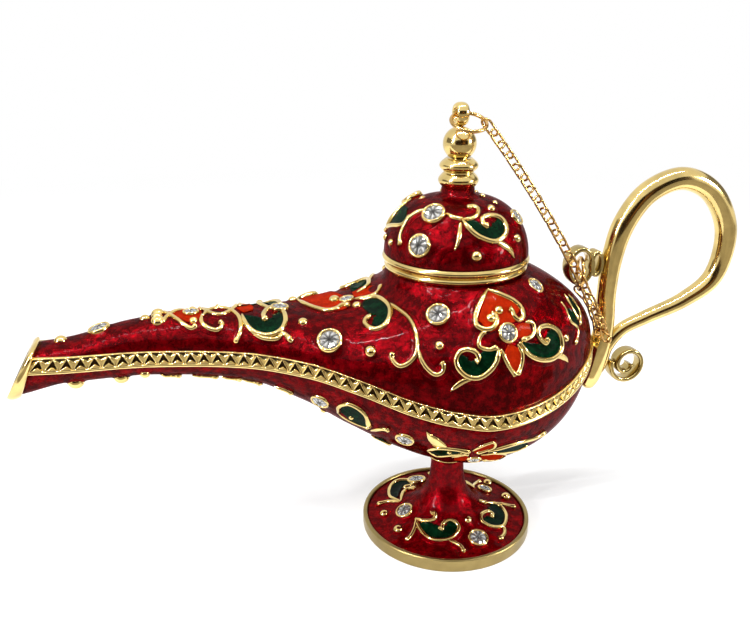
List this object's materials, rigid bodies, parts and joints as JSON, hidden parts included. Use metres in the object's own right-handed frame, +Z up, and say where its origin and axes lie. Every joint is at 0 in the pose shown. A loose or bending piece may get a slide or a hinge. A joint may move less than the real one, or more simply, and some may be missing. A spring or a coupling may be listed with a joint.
{
  "type": "genie lamp",
  "caption": "Enamelled trinket oil lamp on a round foot: long curved spout, gold seam band, looped handle and a domed lift-off lid tethered by a fine link chain.",
  "frame": {"origin": "centre of the foot's flat underside", "axes": "+X from the lamp's axis towards the handle (the spout points along -X), +Z up the axis through foot, neck and finial, +Y across the lamp, away from the side the chain hangs on"},
  "size_m": [0.1394, 0.047, 0.0854],
  "materials": {
    "red_enamel": "translucent red enamel fired over cast metal, glossy",
    "gold_plate": "polished pale gold plate over cast metal",
    "crystal": "clear faceted crystal with a foiled back, in a gold cup"
  },
  "bodies": {
    "lamp": {"pedestal": "red_enamel", "foot_rim": "gold_plate", "stem_ring": "gold_plate", "lower_shell": "red_enamel", "upper_shell": "red_enamel", "seam_band": "gold_plate", "spout_lip": "gold_plate", "neck_collar": "gold_plate", "handle_loop": "gold_plate", "handle_volute": "gold_plate", "handle_eye": "gold_plate", "eye_ring": "gold_plate", "chain_link_21": "gold_plate", "chain_link_22": "gold_plate", "chain_link_23": "gold_plate", "chain_link_24": "gold_plate", "chain_link_25": "gold_plate", "shoulder_crystal_1_near": "crystal", "shoulder_crystal_1_far": "crystal", "shoulder_crystal_2_near": "crystal", "shoulder_crystal_2_far": "crystal", "shoulder_crystal_3_near": "crystal", "shoulder_crystal_3_far": "crystal", "shoulder_crystal_4_near": "crystal", "shoulder_crystal_4_far": "crystal", "crest_crystal_1": "crystal", "crest_crystal_2": "crystal", "crest_crystal_3": "crystal", "crest_crystal_4": "crystal"},
    "lid": {"lid_rim": "gold_plate", "lid_dome": "red_enamel", "finial": "gold_plate", "finial_ring": "gold_plate", "lid_crystal_1_near": "crystal", "lid_crystal_1_far": "crystal", "lid_crystal_2_near": "crystal", "lid_crystal_2_far": "crystal", "lid_crystal_3_near": "crystal", "lid_crystal_3_far": "crystal"},
    "link_01": {"chain_link_01": "gold_plate"},
    "link_02": {"chain_link_02": "gold_plate"},
    "link_03": {"chain_link_03": "gold_plate"},
    "link_04": {"chain_link_04": "gold_plate"},
    "link_05": {"chain_link_05": "gold_plate"},
    "link_06": {"chain_link_06": "gold_plate"},
    "link_07": {"chain_link_07": "gold_plate"},
    "link_08": {"chain_link_08": "gold_plate"},
    "link_09": {"chain_link_09": "gold_plate"},
    "link_10": {"chain_link_10": "gold_plate"},
    "link_11": {"chain_link_11": "gold_plate"},
    "link_12": {"chain_link_12": "gold_plate"},
    "link_13": {"chain_link_13": "gold_plate"},
    "link_14": {"chain_link_14": "gold_plate"},
    "link_15": {"chain_link_15": "gold_plate"},
    "link_16": {"chain_link_16": "gold_plate"},
    "link_17": {"chain_link_17": "gold_plate"},
    "link_18": {"chain_link_18": "gold_plate"},
    "link_19": {"chain_link_19": "gold_plate"},
    "link_20": {"chain_link_20": "gold_plate"}
  },
  "joints": [
    {"name": "lid_lift", "type": "slide", "parent": "lamp", "child": "lid", "axis": [0, 0, 1], "range_m": [0, 0.012]},
    {"name": "link_01_rise", "type": "slide", "parent": "lamp", "child": "link_01", "axis": [0, 0, 1], "range_m": [0, 0.012]},
    {"name": "link_02_rise", "type": "slide", "parent": "lamp", "child": "link_02", "axis": [0, 0, 1], "range_m": [0, 0.012]},
    {"name": "link_03_rise", "type": "slide", "parent": "lamp", "child": "link_03", "axis": [0, 0, 1], "range_m": [0, 0.012]},
    {"name": "link_04_rise", "type": "slide", "parent": "lamp", "child": "link_04", "axis": [0, 0, 1], "range_m": [0, 0.012]},
    {"name": "link_05_rise", "type": "slide", "parent": "lamp", "child": "link_05", "axis": [0, 0, 1], "range_m": [0, 0.012]},
    {"name": "link_06_rise", "type": "slide", "parent": "lamp", "child": "link_06", "axis": [0, 0, 1], "range_m": [0, 0.012]},
    {"name": "link_07_rise", "type": "slide", "parent": "lamp", "child": "link_07", "axis": [0, 0, 1], "range_m": [0, 0.012]},
    {"name": "link_08_rise", "type": "slide", "parent": "lamp", "child": "link_08", "axis": [0, 0, 1], "range_m": [0, 0.012]},
    {"name": "link_09_rise", "type": "slide", "parent": "lamp", "child": "link_09", "axis": [0, 0, 1], "range_m": [0, 0.012]},
    {"name": "link_10_rise", "type": "slide", "parent": "lamp", "child": "link_10", "axis": [0, 0, 1], "range_m": [0, 0.012]},
    {"name": "link_11_rise", "type": "slide", "parent": "lamp", "child": "link_11", "axis": [0, 0, 1], "range_m": [0, 0.012]},
    {"name": "link_12_rise", "type": "slide", "parent": "lamp", "child": "link_12", "axis": [0, 0, 1], "range_m": [0, 0.012]},
    {"name": "link_13_rise", "type": "slide", "parent": "lamp", "child": "link_13", "axis": [0, 0, 1], "range_m": [0, 0.012]},
    {"name": "link_14_rise", "type": "slide", "parent": "lamp", "child": "link_14", "axis": [0, 0, 1], "range_m": [0, 0.012]},
    {"name": "link_15_rise", "type": "slide", "parent": "lamp", "child": "link_15", "axis": [0, 0, 1], "range_m": [0, 0.012]},
    {"name": "link_16_rise", "type": "slide", "parent": "lamp", "child": "link_16", "axis": [0, 0, 1], "range_m": [0, 0.012]},
    {"name": "link_17_rise", "type": "slide", "parent": "lamp", "child": "link_17", "axis": [0, 0, 1], "range_m": [0, 0.012]},
    {"name": "link_18_rise", "type": "slide", "parent": "lamp", "child": "link_18", "axis": [0, 0, 1], "range_m": [0, 0.012]},
    {"name": "link_19_rise", "type": "slide", "parent": "lamp", "child": "link_19", "axis": [0, 0, 1], "range_m": [0, 0.012]},
    {"name": "link_20_rise", "type": "slide", "parent": "lamp", "child": "link_20", "axis": [0, 0, 1], "range_m": [0, 0.012]}
  ],
  "couplings": [
    {"joint": "link_01_rise", "follows": "lid_lift", "ratio": 0.975},
    {"joint": "link_02_rise", "follows": "lid_lift", "ratio": 0.925},
    {"joint": "link_03_rise", "follows": "lid_lift", "ratio": 0.875},
    {"joint": "link_04_rise", "follows": "lid_lift", "ratio": 0.825},
    {"joint": "link_05_rise", "follows": "lid_lift", "ratio": 0.775},
    {"joint": "link_06_rise", "follows": "lid_lift", "ratio": 0.725},
    {"joint": "link_07_rise", "follows": "lid_lift", "ratio": 0.675},
    {"joint": "link_08_rise", "follows": "lid_lift", "ratio": 0.625},
    {"joint": "link_09_rise", "follows": "lid_lift", "ratio": 0.575},
    {"joint": "link_10_rise", "follows": "lid_lift", "ratio": 0.525},
    {"joint": "link_11_rise", "follows": "lid_lift", "ratio": 0.475},
    {"joint": "link_12_rise", "follows": "lid_lift", "ratio": 0.425},
    {"joint": "link_13_rise", "follows": "lid_lift", "ratio": 0.375},
    {"joint": "link_14_rise", "follows": "lid_lift", "ratio": 0.325},
    {"joint": "link_15_rise", "follows": "lid_lift", "ratio": 0.275},
    {"joint": "link_16_rise", "follows": "lid_lift", "ratio": 0.225},
    {"joint": "link_17_rise", "follows": "lid_lift", "ratio": 0.175},
    {"joint": "link_18_rise", "follows": "lid_lift", "ratio": 0.125},
    {"joint": "link_19_rise", "follows": "lid_lift", "ratio": 0.075},
    {"joint": "link_20_rise", "follows": "lid_lift", "ratio": 0.025}
  ]
}
